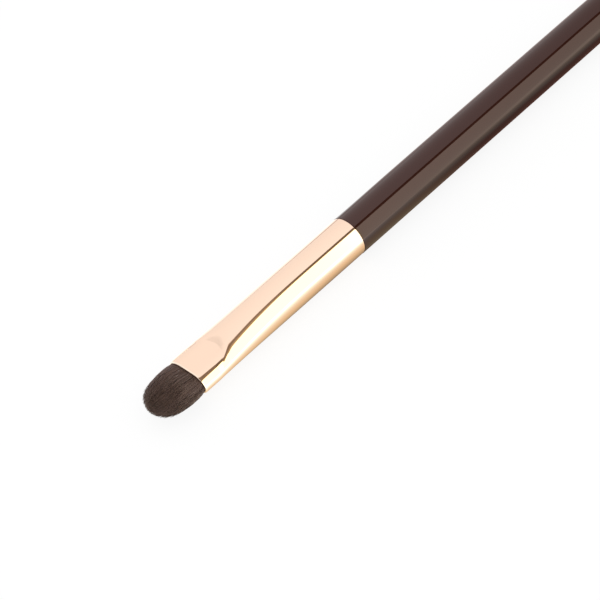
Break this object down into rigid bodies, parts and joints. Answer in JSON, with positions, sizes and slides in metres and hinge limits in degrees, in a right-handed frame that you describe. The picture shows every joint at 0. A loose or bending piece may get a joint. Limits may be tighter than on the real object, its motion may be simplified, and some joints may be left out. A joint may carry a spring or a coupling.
{
  "type": "eyeshadow brush",
  "caption": "Slim eyeshadow brush: lacquered wooden handle, metal ferrule pressed oval at its mouth, short dense domed bristle tuft.",
  "frame": {"origin": "on the brush axis, in the plane where the ferrule's end meets the handle's shoulder", "axes": "+X along the axis towards the bristle tip, +Y across the wide side of the ferrule's mouth, +Z out of the ferrule's broad face, which faces up as the brush lies on a table"},
  "size_m": [0.1709, 0.0082, 0.0072],
  "materials": {
    "turned_wood": "turned and sanded, bare under the ferrule",
    "gloss_lacquer": "sprayed gloss lacquer, deep brown",
    "plated_brass": "drawn tube, polished and plated in pale rose gold",
    "cured_adhesive": "cured glue film",
    "cured_resin": "cured clear amber resin",
    "cotton_thread": "waxed cotton thread",
    "root_fibre": "packed synthetic fibre",
    "bristle_fibre": "fine tapered synthetic fibre"
  },
  "bodies": {
    "brush": {"handle_core": "turned_wood", "handle_lacquer": "gloss_lacquer", "ferrule": "plated_brass", "spigot_adhesive": "cured_adhesive", "root_resin": "cured_resin", "root_thread": "cotton_thread", "bristle_roots": "root_fibre"},
    "bristles": {"bristle_tuft": "bristle_fibre"}
  },
  "joints": [
    {"name": "bristle_flex", "type": "hinge", "parent": "brush", "child": "bristles", "pos_m": [0.0372, 0, 0], "axis": [0, 1, 0], "range_deg": [-20, 20], "stiffness_Nm_per_rad": 0.008, "deforming": ["bristle_tuft"]}
  ]
}
